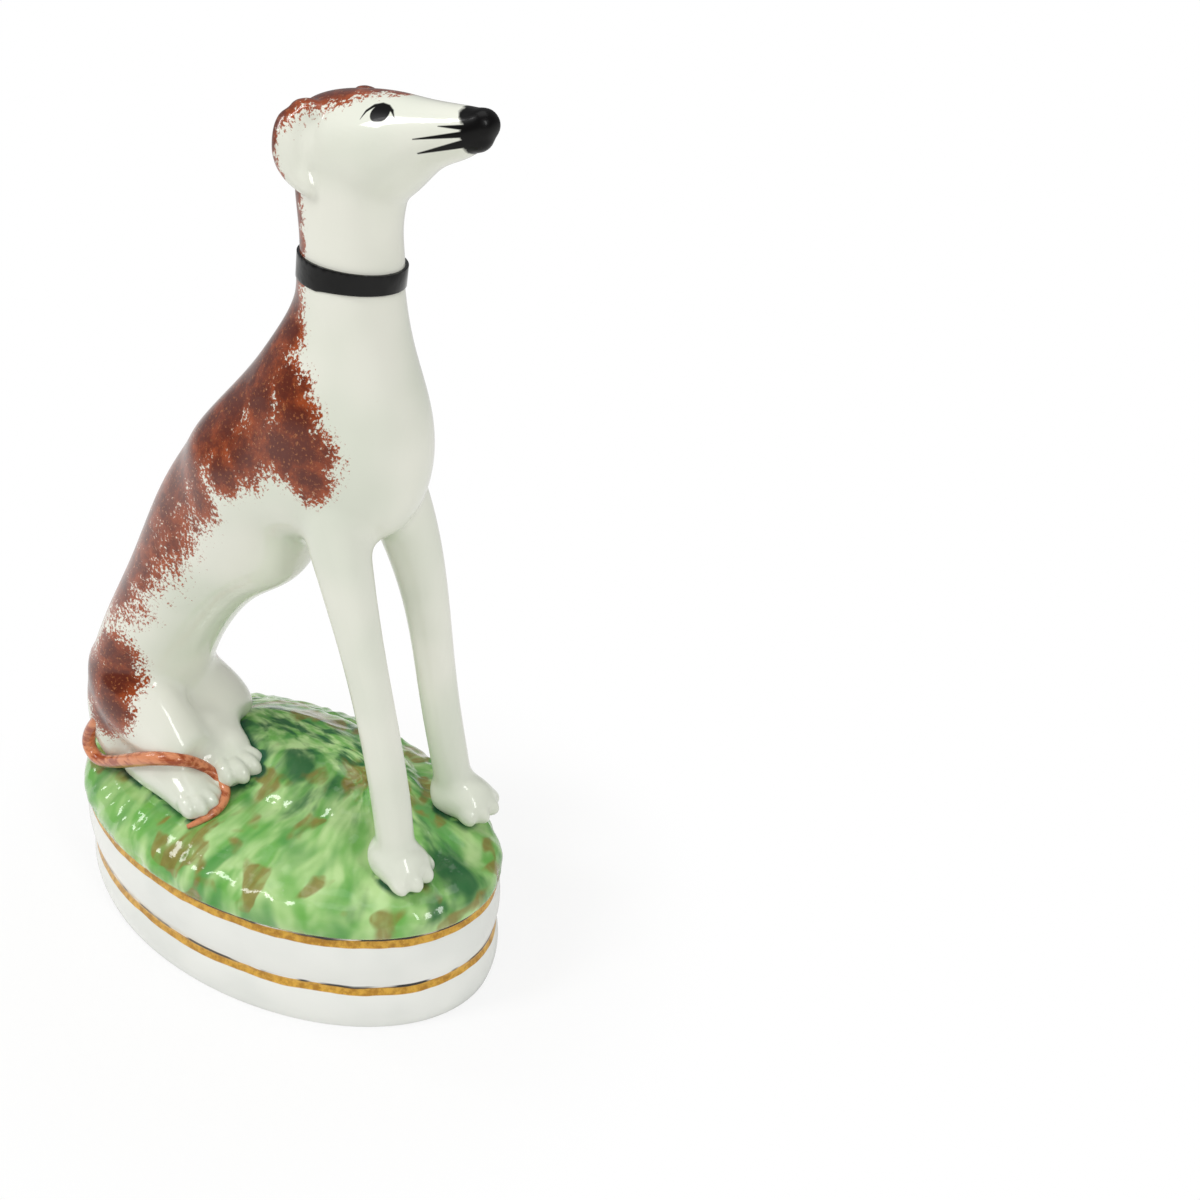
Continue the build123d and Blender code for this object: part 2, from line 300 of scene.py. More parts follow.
# heights in millimetres that the furrows, the fine ones and the lumps add, and how far all sink
furrow_rise, fine_rise, lump_rise, sink = 0.7, 0.25, 0.8, 0.8


def select_only(*pieces):
    """Make these the selected objects, and the first one active."""
    bpy.ops.object.select_all(action="DESELECT")
    for piece in pieces:
        piece.select_set(True)
    bpy.context.view_layer.objects.active = pieces[0]


def merged_copy(name, *nodes):
    """One object with copies of the nodes' meshes, their doubles merged."""
    copies = []
    for part in nodes:
        copy = bpy.data.objects.new(name, frame["nodes"][part].data.copy())
        copy.data.materials.clear()
        bpy.context.scene.collection.objects.link(copy)
        copies.append(copy)
    select_only(*copies)
    if len(copies) > 1:
        bpy.ops.object.join()
    bpy.ops.object.mode_set(mode="EDIT")
    bpy.ops.mesh.select_all(action="SELECT")
    bpy.ops.mesh.remove_doubles(threshold=0.01 * MM)
    bpy.ops.object.mode_set(mode="OBJECT")
    return bpy.context.object


def finish_with(piece, kind, **settings):
    """Add a modifier and apply it."""
    select_only(piece)
    modifier = piece.modifiers.new(kind.lower(), kind)
    for key, value in settings.items():
        setattr(modifier, key, value)
    bpy.ops.object.modifier_apply(modifier=modifier.name)


def points_of(piece):
    """Places and normals of a piece's vertices, as arrays."""
    count = len(piece.data.vertices)
    places = np.empty(count * 3, np.float32)
    normals = np.empty(count * 3, np.float32)
    piece.data.vertices.foreach_get("co", places)
    piece.data.vertices.foreach_get("normal", normals)
    return places.reshape(-1, 3), normals.reshape(-1, 3)


def move_out(piece, distances):
    """Push each vertex along its normal."""
    places, normals = points_of(piece)
    places = places + normals * np.asarray(distances, np.float32)[:, None]
    piece.data.vertices.foreach_set("co", places.ravel())
    piece.data.update()


mound_low, mound_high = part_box("grass_mound")
mound = merged_copy("grass_mound_glazed", "grass_mound")
finish_with(mound, "REMESH", mode="VOXEL", voxel_size=mound_voxel)
lifts = []
for (x, y, z), normal in zip(*points_of(mound)):
    if z < mound_low.z + seat_height or normal[2] < -0.25:
        lifts.append(0.0)
        continue
    along = min(max(x, crest_start), crest_end)
    away = Vector((x - along, y - crest_side, 0))
    far = away.length
    turn = away / math.hypot(far, crest_round)
    run = far + mound_high.z - z
    fan = furrows_round * turn
    comb = Vector((along / furrow_spacing + fan.x, fan.y, run / furrow_length))
    furrow = 1 - abs(noise.noise(comb)) * furrow_sharpness
    fine = noise.noise(comb * fine_furrows)
    lump = noise.noise(Vector((x, y, z)) / lump_size)
    relief = min(1.0, far / crest_to_full_relief)
    rise = furrow_rise * furrow + fine_rise * fine + lump_rise * lump - sink
    lifts.append(MM * relief * rise)
move_out(mound, lifts)
finish_with(mound, "SMOOTH", factor=0.5, iterations=2)
select_only(mound)
bpy.ops.object.shade_smooth()

# Coloured lead glaze, brushed on thickly: greens drawn out into strokes down from the crest,
# darker towards the crest and the front, ochre dabs, deep pools round the paws, a glassy ripple.
fan_round = 30 * MM
dab_size = 11 * MM
ochre_size = 3 * MM
pool_patch = 7 * MM
ripple_size = 5 * MM
grass, tree, place = new_finish("brushed_green_glaze")
split = node(tree, "ShaderNodeSeparateXYZ", Vector=place)
along = node(tree, "ShaderNodeMath", {"operation": "MAXIMUM"}, split.outputs["X"], crest_start)
along = node(tree, "ShaderNodeMath", {"operation": "MINIMUM"}, along, crest_end)
away = node(
    tree, "ShaderNodeCombineXYZ", None,
    node(tree, "ShaderNodeMath", {"operation": "SUBTRACT"}, split.outputs["X"], along),
    node(tree, "ShaderNodeMath", {"operation": "SUBTRACT"}, split.outputs["Y"], crest_side),
    0.0,
)
far = node(tree, "ShaderNodeVectorMath", {"operation": "LENGTH"}, away)
rounded = node(tree, "ShaderNodeMath", {"operation": "MULTIPLY"}, far, far)
rounded = node(tree, "ShaderNodeMath", {"operation": "ADD"}, rounded, crest_round ** 2)
rounded = node(tree, "ShaderNodeMath", {"operation": "SQRT"}, rounded)
inverse = node(tree, "ShaderNodeMath", {"operation": "DIVIDE"}, 1.0, rounded)
turn = node(tree, "ShaderNodeVectorMath", {"operation": "SCALE"}, away, Scale=inverse)
drop = node(tree, "ShaderNodeMath", {"operation": "SUBTRACT"}, mound_high.z, split.outputs["Z"])
run = node(tree, "ShaderNodeMath", {"operation": "ADD"}, far, drop)


def brushwork(tree, width, length, offset, detail=2.0):
    """Noise drawn out into brush strokes that run from the crest down to the rim."""
    around = node(
        tree, "ShaderNodeVectorMath", {"operation": "SCALE"}, turn, Scale=fan_round / width,
    )
    across = node(tree, "ShaderNodeMath", {"operation": "MULTIPLY"}, along, 1 / width)
    across = node(tree, "ShaderNodeMath", {"operation": "ADD"}, across, offset)
    down = node(tree, "ShaderNodeMath", {"operation": "MULTIPLY"}, run, 1 / length)
    down = node(tree, "ShaderNodeMath", {"operation": "ADD"}, down, offset)
    where = node(tree, "ShaderNodeCombineXYZ", None, across, 0.0, down)
    where = node(tree, "ShaderNodeVectorMath", {"operation": "ADD"}, around, where)
    return node(
        tree, "ShaderNodeTexNoise", Vector=where, Scale=1.0, Detail=detail, Distortion=0.35,
    )


strokes = brushwork(tree, 6 * MM, 18 * MM, 0.0)
strokes = node(tree, "ShaderNodeMapRange", smooth, strokes, 0.3, 0.7)
colour = node(tree, "ShaderNodeMix", rgba, strokes, hex_colour("#6FB052"), hex_colour("#BCDD98"))
deep = brushwork(tree, 9 * MM, 24 * MM, 4.0)
deep = node(tree, "ShaderNodeMapRange", smooth, deep, 0.48, 0.7, 0.0, 0.85)
colour = node(tree, "ShaderNodeMix", rgba, deep, colour, hex_colour("#4B9444"))
high = node(tree, "ShaderNodeMapRange", smooth, split.outputs["Z"], 51 * MM, 58 * MM, 0.0, 0.13)
front = node(tree, "ShaderNodeMapRange", smooth, split.outputs["X"], 40 * MM, 66 * MM, 0.0, 0.12)
near = node(tree, "ShaderNodeMapRange", smooth, split.outputs["Y"], -12 * MM, -34 * MM, 0.0, 0.08)
shadow = node(tree, "ShaderNodeMath", {"operation": "ADD"}, high, front)
shadow = node(
    tree, "ShaderNodeMath", {"operation": "ADD"},
    brushwork(tree, 8 * MM, 26 * MM, 9.0, detail=3.0), shadow,
)
shadow = node(tree, "ShaderNodeMath", {"operation": "SUBTRACT"}, shadow, near)
shadow = node(tree, "ShaderNodeMapRange", smooth, shadow, 0.55, 0.78, 0.0, 0.9)
colour = node(tree, "ShaderNodeMix", rgba, shadow, colour, hex_colour("#1F5E36"))
stretched = node(tree, "ShaderNodeVectorMath", {"operation": "MULTIPLY"}, place, (1.0, 0.7, 1.0))
dabs = node(
    tree, "ShaderNodeTexNoise",
    Vector=stretched, Scale=1 / dab_size, Roughness=0.45, Distortion=0.3,
)
dabs = node(tree, "ShaderNodeMapRange", smooth, dabs, 0.55, 0.62, 0.0, 0.95)
hairs = brushwork(tree, 2.5 * MM, 12 * MM, 3.0)
hairs = node(tree, "ShaderNodeMapRange", smooth, hairs, 0.3, 0.6, 0.4, 0.85)
dabs = node(tree, "ShaderNodeMath", {"operation": "MULTIPLY"}, dabs, hairs)
ochre = node(tree, "ShaderNodeTexNoise", Vector=place, Scale=1 / ochre_size)
ochre = node(tree, "ShaderNodeMix", rgba, ochre, hex_colour("#745A22"), hex_colour("#9E8A46"))
colour = node(tree, "ShaderNodeMix", rgba, dabs, colour, ochre)
near_foot = node(tree, "ShaderNodeAttribute", {"attribute_name": "near_foot"}).outputs["Fac"]
patches = node(tree, "ShaderNodeTexNoise", Vector=place, Scale=1 / pool_patch)
patches = node(tree, "ShaderNodeMapRange", smooth, patches, 0.32, 0.5)
pooled = node(tree, "ShaderNodeMath", {"operation": "MULTIPLY"}, near_foot, patches)
pooled = node(tree, "ShaderNodeMapRange", smooth, pooled, 0.25, 0.75, 0.0, 0.92)
colour = node(tree, "ShaderNodeMix", rgba, pooled, colour, hex_colour("#0F5238"))
lumps = node(tree, "ShaderNodeTexNoise", Vector=place, Scale=1 / ripple_size, Detail=3.0)
ripple = node(tree, "ShaderNodeBump", Height=lumps, Strength=0.3, Distance=0.8 * MM)
glaze(tree, colour, ripple, roughness=0.2)
mound.data.materials.append(grass)
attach(mound, "root")
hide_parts("grass_mound")


# Hound's body: two pressed halves with the forelegs, thighs and feet luted on and the joins
# sponged smooth, so that under the glaze it is one skin. Iron-red enamel is dabbed over it.

hound_voxel = 1.0 * MM
paw_voxel = 0.78 * MM
seam_reach = 2.4 * MM
far_foot_height = 52 * MM
pool_reach = 3.2 * MM
lap_fillings = [
    # place and radii in millimetres of the clay pressed between the thighs
    ((-33, -10, 62), (16, 12, 10)),
    ((-22, -13, 57.5), (11, 9, 7)),
]
toe_radii = (5.3, 2.6, 3.8)
toe_angles = (-62, -21, 21, 62)
paws = [
    # middle of each paw, spread of its toes along and across, size of a toe
    ((57.4, -14.0, 51.6), (5.0, 5.6), 1.0),
    ((56.0, 21.2, 52.4), (5.0, 5.8), 1.0),
    ((-12.0, -27.4, 53.8), (4.2, 4.8), 0.9),
    ((-12.4, -11.0, 56.8), (5.6, 5.8), 1.0),
]
body_dabs = [
    # place and radius of each dab of the sponge on the near flank, in millimetres
    (18, -6, 214, 9), (16, -6, 205, 10), (12, -8, 196, 12), (7, -9, 186, 13), (2, -10, 177, 14),
    (-4, -11, 168, 15), (-9, -10, 160, 15), (-15, -10, 151, 15), (-20, -12, 141, 14),
    (-27, -12, 131, 14), (-33, -13, 122, 13), (-39, -14, 112, 12), (-43, -14, 102, 10),
    (4, -18, 163, 8), (12, -18, 170, 9), (-4, -18, 152, 7), (18, -16, 174, 9), (16, -14, 184, 9),
    (18, -12, 194, 8), (25, -15, 190, 7), (28, -17, 183, 8), (31, -17, 176, 9), (32, -18, 169, 7),
    (25, -18, 175, 9), (-42, -24, 92, 9), (-42, -26, 84, 10), (-41, -29, 76, 9), (-46, -26, 70, 8),
    (-50, -22, 80, 12), (-50, -20, 62, 7), (22, -11, 216, 5), (21.5, -11.5, 210, 5.5),
    (21, -12, 203, 7),
]


def lowered(piece, foot, share):
    """Scale a copy's heights about the height of its foot."""
    about = Matrix.Translation((0, 0, foot))
    piece.data.transform(about @ Matrix.Diagonal((1, 1, share, 1)) @ about.inverted())
    return piece


def keep_outer_shell(piece):
    """Delete the islands inside, such as the wall of a hollow."""
    select_only(piece)
    top = max(piece.data.vertices, key=lambda vertex: vertex.co.z).index
    bpy.ops.object.mode_set(mode="EDIT")
    bpy.ops.mesh.select_mode(type="VERT")
    bpy.ops.mesh.select_all(action="DESELECT")
    bpy.ops.object.mode_set(mode="OBJECT")
    piece.data.vertices[top].select = True
    bpy.ops.object.mode_set(mode="EDIT")
    bpy.ops.mesh.select_linked()
    bpy.ops.mesh.select_all(action="INVERT")
    bpy.ops.mesh.delete(type="VERT")
    bpy.ops.object.mode_set(mode="OBJECT")


def ovoid(name, centre, radii, heading=(1, 0, 0)):
    """Ellipsoid of clay at a place in millimetres, its long axis turned to the heading."""
    bpy.ops.object.select_all(action="DESELECT")
    bpy.ops.mesh.primitive_uv_sphere_add(segments=24, ring_count=16, radius=1.0)
    pad = bpy.context.object
    pad.name = name
    turn = Vector(heading).to_track_quat("X", "Z").to_matrix().to_4x4()
    stretch = Matrix.Diagonal((radii[0] * MM, radii[1] * MM, radii[2] * MM, 1))
    pad.data.transform(Matrix.Translation(Vector(centre) * MM) @ turn @ stretch)
    return pad


def lute(piece, voxel, *added):
    """Join clay to a piece and mesh both anew as one skin."""
    if added:
        select_only(piece, *added)
        bpy.ops.object.join()
    finish_with(piece, "REMESH", mode="VOXEL", voxel_size=voxel)


def sponge_seams(piece, voxel, reach):
    """Fill a piece's narrow hollows: swell it, mesh it anew, and shrink it back."""
    finish_with(piece, "DISPLACE", strength=reach, mid_level=0.0)
    finish_with(piece, "REMESH", mode="VOXEL", voxel_size=voxel)
    finish_with(piece, "DISPLACE", strength=-reach, mid_level=0.0)


skin = merged_copy(
    "hound_body", "body_right_half", "body_left_half", "foreleg_right", "foreleg_left",
    "thigh_right", "hind_foot_right", "hind_foot_left",
)
far_thigh = lowered(merged_copy("far_thigh", "thigh_left"), far_foot_height, 0.87)
lute(skin, hound_voxel, far_thigh)
keep_outer_shell(skin)
fillings = [ovoid("lap_filling", centre, radii) for centre, radii in lap_fillings]
lute(skin, hound_voxel, *fillings)
sponge_seams(skin, hound_voxel, seam_reach)
finish_with(skin, "SMOOTH", factor=0.5, iterations=5)
toes = []
for middle, (spread_along, spread_across), size in paws:
    for angle in toe_angles:
        swing = math.radians(angle)
        spread = Vector((spread_along * math.cos(swing), spread_across * math.sin(swing), 0))
        heading = Vector((math.cos(swing * 0.35), math.sin(swing * 0.35), -0.3))
        radii = [radius * size for radius in toe_radii]
        toes.append(ovoid("toe", Vector(middle) + spread, radii, heading))
lute(skin, paw_voxel, *toes)
finish_with(skin, "SMOOTH", factor=0.5, iterations=4)
select_only(skin)
bpy.ops.object.shade_smooth()


spine_side = 0.5
spine_bends_at = 30
spine_drift = 0.095


def both_flanks(dabs):
    """The dabs and their twins across the hound's own middle, which drifts aside at the rump."""
    twins = []
    for x, y, z, radius in dabs:
        middle = spine_side + min(0, (x - spine_bends_at) * spine_drift)
        twins.append((x, 2 * middle - y, z, radius))
    return dabs + twins


def dab_red(piece, dabs):
    """Store how deep each point lies in the nearest dab: 1 at its middle, 0 at its edge."""
    places = points_of(piece)[0]
    depth = np.full(len(places), -1.0, np.float32)
    for x, y, z, radius in dabs:
        away = np.linalg.norm(places - np.array((x, y, z)) * MM, axis=1) / (radius * MM)
        depth = np.maximum(depth, 1 - away)
    russet = piece.data.attributes.new("russet", "FLOAT", "POINT")
    russet.data.foreach_set("value", depth.astype(np.float32))


dab_red(skin, both_flanks(body_dabs))

# The mound's glaze pools where the paws press into it: its points store how near the skin is.
skin_tree = BVHTree.FromPolygons(
    [vertex.co.copy() for vertex in skin.data.vertices],
    [tuple(face.vertices) for face in skin.data.polygons],
)
closeness = []
for point in points_of(mound)[0]:
    gap = skin_tree.find_nearest(Vector(point), pool_reach)[3]
    closeness.append(0.0 if gap is None else 1 - gap / pool_reach)
near_skin = mound.data.attributes.new("near_foot", "FLOAT", "POINT")
near_skin.data.foreach_set("value", closeness)


ivory_cloud = 40 * MM
kiln_speck = 7 * MM
sponge_hole = 0.9 * MM
sponge_print = 6 * MM
tone_patch = 7 * MM


def white_and_russet(tree, place):
    """Ivory glaze with iron-red enamel that breaks into speckles at the edge of each patch."""
    cloud = node(tree, "ShaderNodeTexNoise", Vector=place, Scale=1 / ivory_cloud)
    cloud = node(tree, "ShaderNodeMapRange", smooth, cloud, 0.35, 0.65)
    ivory = node(tree, "ShaderNodeMix", rgba, cloud, hex_colour("#DEE2D3"), hex_colour("#ECECE0"))
    spot = node(
        tree, "ShaderNodeTexNoise", Vector=place, Scale=1 / kiln_speck, Detail=3.0, Roughness=0.6,
    )
    spot = node(tree, "ShaderNodeMapRange", smooth, spot, 0.74, 0.8, 0.0, 0.35)
    ivory = node(tree, "ShaderNodeMix", rgba, spot, ivory, hex_colour("#B98A45"))
    depth = node(tree, "ShaderNodeAttribute", {"attribute_name": "russet"}).outputs["Fac"]
    fine = node(
        tree, "ShaderNodeTexNoise",
        Vector=place, Scale=1 / sponge_hole, Detail=3.0, Roughness=0.65,
    )
    drift = node(
        tree, "ShaderNodeTexNoise",
        Vector=place, Scale=1 / sponge_print, Detail=3.0, Roughness=0.6,
    )
    drift = node(tree, "ShaderNodeMath", {"operation": "SUBTRACT"}, drift, 0.5)
    drift = node(tree, "ShaderNodeMath", {"operation": "MULTIPLY"}, drift, 0.9)
    level = node(tree, "ShaderNodeMath", {"operation": "ADD"}, depth, drift)
    grain = node(tree, "ShaderNodeMath", {"operation": "SUBTRACT"}, fine, 0.5)
    grain = node(tree, "ShaderNodeMath", {"operation": "MULTIPLY"}, grain, 1.9)
    cover = node(tree, "ShaderNodeMath", {"operation": "ADD"}, level, grain)
    cover = node(tree, "ShaderNodeMapRange", smooth, cover, -0.12, 0.14)
    tone = node(
        tree, "ShaderNodeTexNoise", Vector=place, Scale=1 / tone_patch, Detail=6.0, Roughness=0.8,
    )
    thick = node(tree, "ShaderNodeMath", {"operation": "MULTIPLY"}, level, 0.5)
    thick = node(tree, "ShaderNodeMath", {"operation": "ADD"}, thick, tone)
    thick = node(tree, "ShaderNodeMapRange", smooth, thick, 0.45, 0.85)
    red = node(tree, "ShaderNodeMix", rgba, thick, hex_colour("#A34A1F"), hex_colour("#5E210E"))
    thin = node(tree, "ShaderNodeMapRange", smooth, fine, 0.3, 0.45, 0.55, 0.0)
    red = node(tree, "ShaderNodeMix", rgba, thin, red, hex_colour("#C47B45"))
    return node(tree, "ShaderNodeMix", rgba, cover, ivory, red)


# Lead-glazed earthenware with sponged iron-red enamel: ivory with a faint green cast and a few
# rusty kiln specks, broken by patches that are dark where thick and orange where thin.
sag_size = 16 * MM
sponged, tree, place = new_finish("sponged_white_glaze")
sag = node(tree, "ShaderNodeTexNoise", Vector=place, Scale=1 / sag_size)
ripple = node(tree, "ShaderNodeBump", Height=sag, Strength=0.2, Distance=0.8 * MM)
glaze(tree, white_and_russet(tree, place), ripple)
skin.data.materials.append(sponged)
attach(skin, "root")
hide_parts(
    "body_right_half", "body_left_half", "foreleg_right", "foreleg_left",
    "thigh_right", "thigh_left", "hind_foot_right", "hind_foot_left",
)


# Head: pressed with the neck, with rolled ears laid back along the skull. The eyes, the nose
# and the whiskers are brushed on in black enamel.

skull_voxel = 0.7 * MM
ear_voxel = 0.6 * MM
face_voxel = 0.5 * MM
throat_reach = 3 * MM
ear_middle_height = 248 * MM
groove_depth = 1.1 * MM
groove_along = 29.2
groove_lean = 0.1
groove_top_height = 250
groove_middle_height = 246
groove_half_width = 1.7
groove_half_length = 6
groove_from_spine = 8
jaw_trim = 0.9 * MM
jaw_middle = 56
jaw_half_length = 7
features = [
    # name, place and radii in millimetres, and heading of each piece of clay added to the face
    ("nose_pad", (68.3, 0, 255.2), (3.5, 4.2, 3.3), (1, 0, 0.1)),
    ("nose_pad", (66.6, 0, 252.3), (4.2, 3.9, 3.4), (1, 0, 0.1)),
    ("far_ear_fold", (31.8, 6.0, 256.0), (3.8, 2.2, 2.0), (1, 0, 0)),
    ("ear_root", (27.5, -8.5, 252.8), (5.0, 3.5, 2.8), (1, 0, 0)),
    ("ear_root", (27.5, 8.5, 252.8), (5.0, 3.5, 2.8), (1, 0, 0)),
]
head_dabs = [
    # place and radius of each dab of the sponge on the near side, in millimetres
    (27, -5, 257, 7.5), (33, -3, 260, 7), (39, -1, 261.5, 6.5), (46, 0, 261.5, 4.5),
    (22, -8, 250, 6), (22, -11, 254, 6), (19.5, -14, 251, 5), (19.2, -14.5, 246, 4.5),
    (20, -14.5, 241, 4.5), (21.5, -14, 237.5, 4), (19, -4, 244, 7), (18, -5, 235, 7),
    (18, -6, 226, 8), (19, -7, 218, 8), (23, -11, 236, 4.5), (22.5, -10.5, 230, 5),
    (22.5, -10.5, 224, 5), (21.5, -11, 217, 5),
]
brush_strokes = [
    # from, to, width of each stroke in millimetres along and up, and the share it thins by
    # whiskers
    ((67.5, 254.7), (61.2, 254.2), 1.2, 0.85), ((69.0, 253.7), (56.0, 251.0), 1.5, 0.85),
    ((68.6, 251.9), (56.6, 248.1), 1.9, 0.85),
    # upper eyelid, from its rear corner to its front one
    ((43.5, 255.0), (42.8, 253.3), 0.55, 0.8), ((44.7, 256.1), (43.5, 255.0), 0.7, 0.2),
    ((44.7, 256.1), (46.3, 256.55), 0.7, 0.0), ((46.3, 256.55), (48.1, 256.35), 0.7, 0.0),
    ((48.1, 256.35), (49.6, 255.7), 0.7, 0.2), ((49.6, 255.7), (50.8, 254.6), 0.55, 0.8),
    # pupil
    ((46.4, 254.95), (47.6, 255.1), 3.3, 0.0),
]

skull = merged_copy("hound_head", "head")
lute(skull, skull_voxel)
sponge_seams(skull, skull_voxel, throat_reach)
ears = lowered(merged_copy("ears", "ear_right", "ear_left"), ear_middle_height, 0.76)
lute(skull, ear_voxel, ears)
keep_outer_shell(skull)
lute(skull, face_voxel, *[ovoid(*feature) for feature in features])
finish_with(skull, "SMOOTH", factor=0.5, iterations=8)

# A groove is pressed in front of each ear, and the jaw is pared slimmer behind the lips.
places, normals = points_of(skull)
places = places / MM
x, y, z = places.T
from_groove = x - groove_along - groove_lean * (groove_top_height - z)
groove = np.exp(-(from_groove / groove_half_width) ** 2)
groove = groove * np.exp(-((z - groove_middle_height) / groove_half_length) ** 4)
groove = groove * (np.abs(y) > groove_from_spine)
jaw = np.exp(-((x - jaw_middle) / jaw_half_length) ** 2) * np.clip(-1.5 * normals[:, 2], 0, 1)
move_out(skull, -(groove_depth * groove + jaw_trim * jaw))
finish_with(skull, "SMOOTH", factor=0.5, iterations=3)
select_only(skull)
bpy.ops.object.shade_smooth()
dab_red(skull, both_flanks(head_dabs))


soft_edge = 0.12 * MM


def brushed_stroke(tree, side_on, start, end, width, thinning):
    """Share of black along one stroke on the side of the head, its ends along and up in mm."""
    foot = (start[0] * MM, 0.0, start[1] * MM)
    reach = ((end[0] - start[0]) * MM, 0.0, (end[1] - start[1]) * MM)
    away = node(tree, "ShaderNodeVectorMath", {"operation": "SUBTRACT"}, side_on, foot)
    share = node(tree, "ShaderNodeVectorMath", {"operation": "DOT_PRODUCT"}, away, reach)
    share = node(
        tree, "ShaderNodeMath", {"operation": "DIVIDE", "use_clamp": True},
        share, reach[0] ** 2 + reach[2] ** 2,
    )
    nearest = node(tree, "ShaderNodeVectorMath", {"operation": "SCALE"}, reach, Scale=share)
    gap = node(tree, "ShaderNodeVectorMath", {"operation": "DISTANCE"}, away, nearest)
    taper = node(tree, "ShaderNodeMath", {"operation": "MULTIPLY"}, share, thinning)
    taper = node(tree, "ShaderNodeMath", {"operation": "SUBTRACT"}, 1.0, taper)
    rim = node(tree, "ShaderNodeMath", {"operation": "MULTIPLY"}, taper, width * MM / 2)
    past_rim = node(tree, "ShaderNodeMath", {"operation": "SUBTRACT"}, gap, rim)
    return node(tree, "ShaderNodeMapRange", smooth, past_rim, soft_edge, -soft_edge)


# The same ivory glaze and iron red, with black enamel brushed over them: inky, with tapering
# strokes, a ragged rear edge on the nose, and less shine than the bare glaze.
nose_top_height = 256 * MM
nose_edge_from = 65.2 * MM
nose_edge_to = 66.0 * MM
least_slant = 0.6 * MM
ragged_size = 2.2 * MM
painted, tree, place = new_finish("painted_face_glaze")
colour = white_and_russet(tree, place)
side_on = node(tree, "ShaderNodeVectorMath", {"operation": "MULTIPLY"}, place, (1.0, 0.0, 1.0))
black = 0.0
for stroke in brush_strokes:
    drawn = brushed_stroke(tree, side_on, *stroke)
    black = node(tree, "ShaderNodeMath", {"operation": "MAXIMUM"}, black, drawn)
split = node(tree, "ShaderNodeSeparateXYZ", Vector=place)
slant = node(tree, "ShaderNodeMath", {"operation": "SUBTRACT"}, split.outputs["Z"], nose_top_height)
slant = node(tree, "ShaderNodeMath", {"operation": "MULTIPLY"}, slant, 0.7)
slant = node(tree, "ShaderNodeMath", {"operation": "MAXIMUM"}, slant, -least_slant)
ragged = node(tree, "ShaderNodeTexNoise", Vector=place, Scale=1 / ragged_size, Detail=3.0)
ragged = node(tree, "ShaderNodeMath", {"operation": "SUBTRACT"}, ragged, 0.5)
ragged = node(tree, "ShaderNodeMath", {"operation": "MULTIPLY"}, ragged, ragged_size)
nose = node(tree, "ShaderNodeMath", {"operation": "ADD"}, split.outputs["X"], slant)
nose = node(tree, "ShaderNodeMath", {"operation": "ADD"}, nose, ragged)
nose = node(tree, "ShaderNodeMapRange", smooth, nose, nose_edge_from, nose_edge_to)
black = node(tree, "ShaderNodeMath", {"operation": "MAXIMUM"}, black, nose)
colour = node(tree, "ShaderNodeMix", rgba, black, colour, hex_colour("#070606"))
sag = node(tree, "ShaderNodeTexNoise", Vector=place, Scale=1 / sag_size)
ripple = node(tree, "ShaderNodeBump", Height=sag, Strength=0.15, Distance=0.8 * MM)
shine = node(tree, "ShaderNodeMath", {"operation": "MULTIPLY"}, black, 0.7)
shine = node(tree, "ShaderNodeMath", {"operation": "SUBTRACT"}, 0.8, shine)
glaze(tree, colour, ripple, roughness=0.35, coat=shine)
skull.data.materials.append(painted)
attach(skull, "root")
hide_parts("head", "ear_right", "ear_left")


# Collar: a raised band of clay round the neck, pressed with it and painted in black enamel.
# Only its outer face shows, so that face gets its own thickness and softened edges.

collar_drop = 0.3 * MM
collar_tilt = math.radians(-5)
collar_thickness = 1.8 * MM
collar_edge = 0.25 * MM

band = merged_copy("collar_band", "collar")
middle = sum((vertex.co for vertex in band.data.vertices), Vector()) / len(band.data.vertices)
bpy.ops.object.mode_set(mode="EDIT")
bpy.ops.mesh.select_mode(type="FACE")
bpy.ops.mesh.select_all(action="DESELECT")
bpy.ops.object.mode_set(mode="OBJECT")
for face in band.data.polygons:
    outward = Vector((face.center.x - middle.x, face.center.y - middle.y, 0)).normalized()
    face.select = face.normal.dot(outward) < 0.5
bpy.ops.object.mode_set(mode="EDIT")
bpy.ops.mesh.delete(type="FACE")
bpy.ops.object.mode_set(mode="OBJECT")
about = Matrix.Translation(middle)
tilt = about @ Matrix.Rotation(collar_tilt, 4, "Y") @ about.inverted()
band.data.transform(Matrix.Translation((0, 0, -collar_drop)) @ tilt)
finish_with(band, "SOLIDIFY", thickness=collar_thickness, offset=-0.9, use_even_offset=True)
finish_with(band, "BEVEL", width=collar_edge, segments=2, limit_method="ANGLE")
select_only(band)
bpy.ops.object.shade_smooth_by_angle(angle=math.radians(50))

# Black enamel, brushed over the glaze and fired again: near black, glossy, with faint ridges.
ridge_size = 2.5 * MM
black_enamel, tree, place = new_finish("black_enamel")
ridges = node(
    tree, "ShaderNodeTexNoise", Vector=place, Scale=1 / ridge_size, Detail=3.0, Roughness=0.6,
)
thin = node(tree, "ShaderNodeMapRange", smooth, ridges, 0.35, 0.75)
colour = node(tree, "ShaderNodeMix", rgba, thin, hex_colour("#030303"), hex_colour("#0B0A0A"))
ripple = node(tree, "ShaderNodeBump", Height=ridges, Strength=0.35, Distance=0.3 * MM)
glaze(tree, colour, ripple, roughness=0.12, coat=0.35)
band.data.materials.append(black_enamel)
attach(band, "root")
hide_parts("collar")


# Tail: a thin rolled strap of clay laid over the hind foot and curled on the grass, in russet
# enamel streaked along its length.

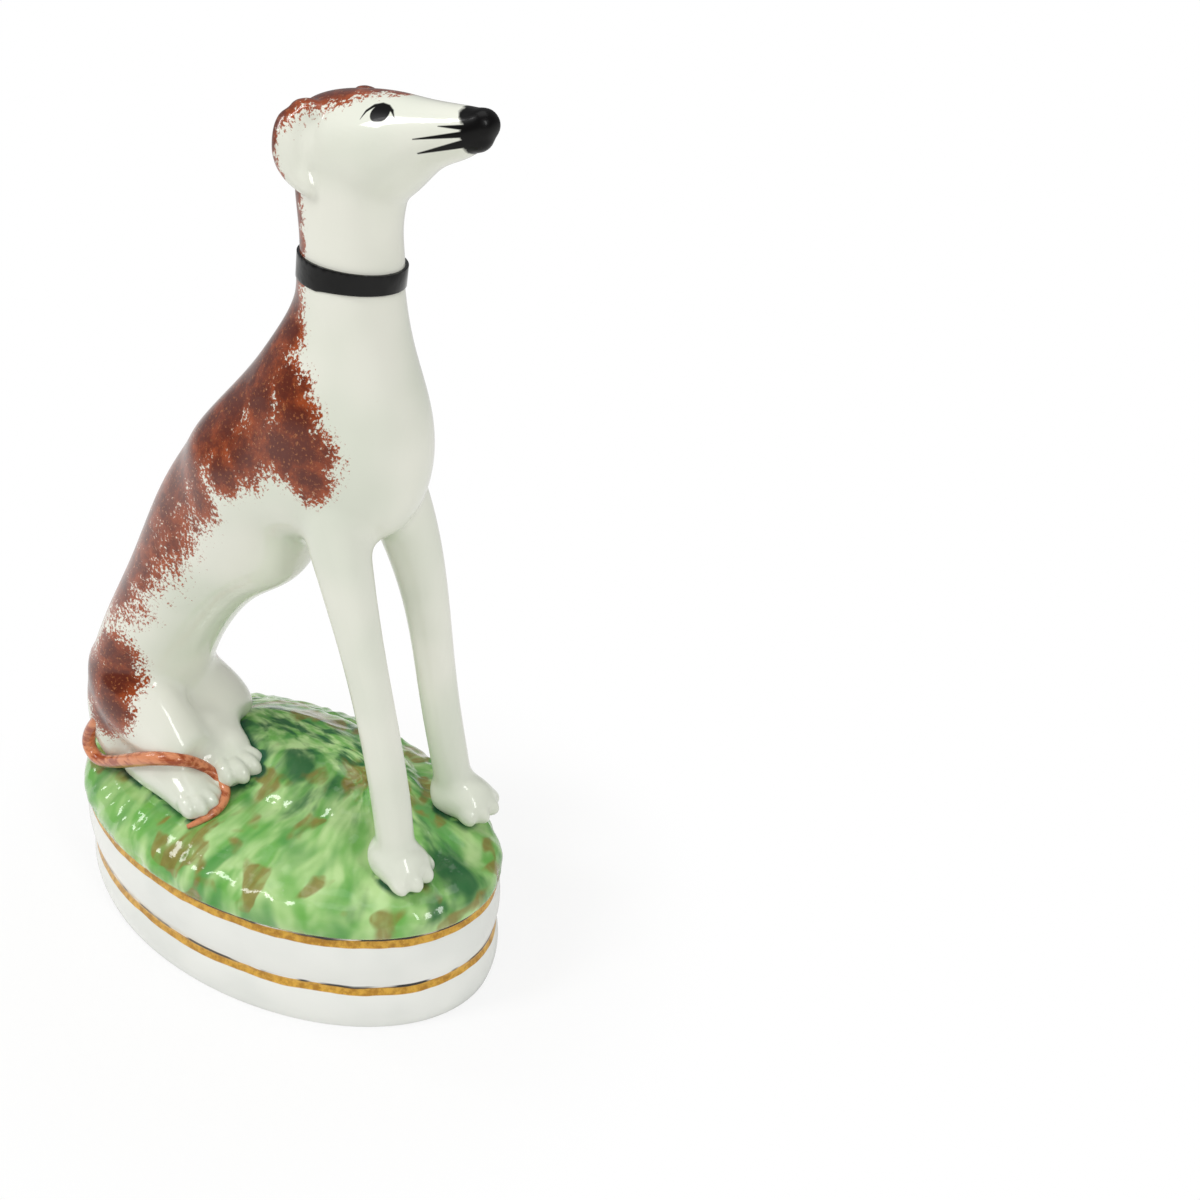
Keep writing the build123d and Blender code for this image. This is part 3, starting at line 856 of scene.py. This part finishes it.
tail_route = [
    # x, y, z and radius in millimetres
    (-47, -24, 72, 2.2), (-51, -27, 66, 2.1), (-57, -27, 58, 2.05), (-58.5, -27, 52, 2.0),
    (-53.5, -28, 49.4, 2.0), (-46.5, -28.8, 52.1, 1.95), (-38.5, -29.6, 56.6, 2.2),
    (-30, -30, 61.4, 2.3), (-22.5, -29.6, 64.8, 2.25), (-17.4, -26.8, 65, 2.05),
    (-15, -22, 61.9, 1.75), (-13, -18.8, 58, 1.7), (-9, -18, 54.8, 1.6), (-5, -20, 52.8, 1.5),
    (-3, -25.5, 51.6, 1.35), (-4.5, -30.5, 50.5, 1.2), (-6.8, -34.8, 49.4, 0.7),
]
curve = bpy.data.curves.new("tail_line", "CURVE")
curve.dimensions = "3D"
curve.bevel_depth = 1.0
curve.bevel_resolution = 6
curve.resolution_u = 16
curve.use_fill_caps = True
spline = curve.splines.new("NURBS")
spline.points.add(len(tail_route) - 1)
for point, (x, y, z, radius) in zip(spline.points, tail_route):
    point.co = (x * MM, y * MM, z * MM, 1)
    point.radius = radius * MM
spline.order_u = 3
spline.use_endpoint_u = True
tail = bpy.data.objects.new("tail_strap", curve)
bpy.context.scene.collection.objects.link(tail)
select_only(tail)
bpy.ops.object.convert(target="MESH")
tail = bpy.context.object
bpy.ops.object.shade_smooth()

# Russet enamel, brushed along the strap and fired: warm red that thins to orange in streaks.
streak_width = 2.2 * MM
tail_red, tree, place = new_finish("russet_enamel")
drawn_out = node(tree, "ShaderNodeVectorMath", {"operation": "MULTIPLY"}, place, (0.22, 0.8, 1.0))
streaks = node(
    tree, "ShaderNodeTexNoise",
    Vector=drawn_out, Scale=1 / streak_width, Detail=3.0, Roughness=0.6,
)
thin = node(tree, "ShaderNodeMapRange", smooth, streaks, 0.38, 0.62)
colour = node(tree, "ShaderNodeMix", rgba, thin, hex_colour("#A04A28"), hex_colour("#DB8E64"))
ripple = node(tree, "ShaderNodeBump", Height=streaks, Strength=0.3, Distance=0.3 * MM)
glaze(tree, colour, ripple)
tail.data.materials.append(tail_red)
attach(tail, "root")
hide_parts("tail")
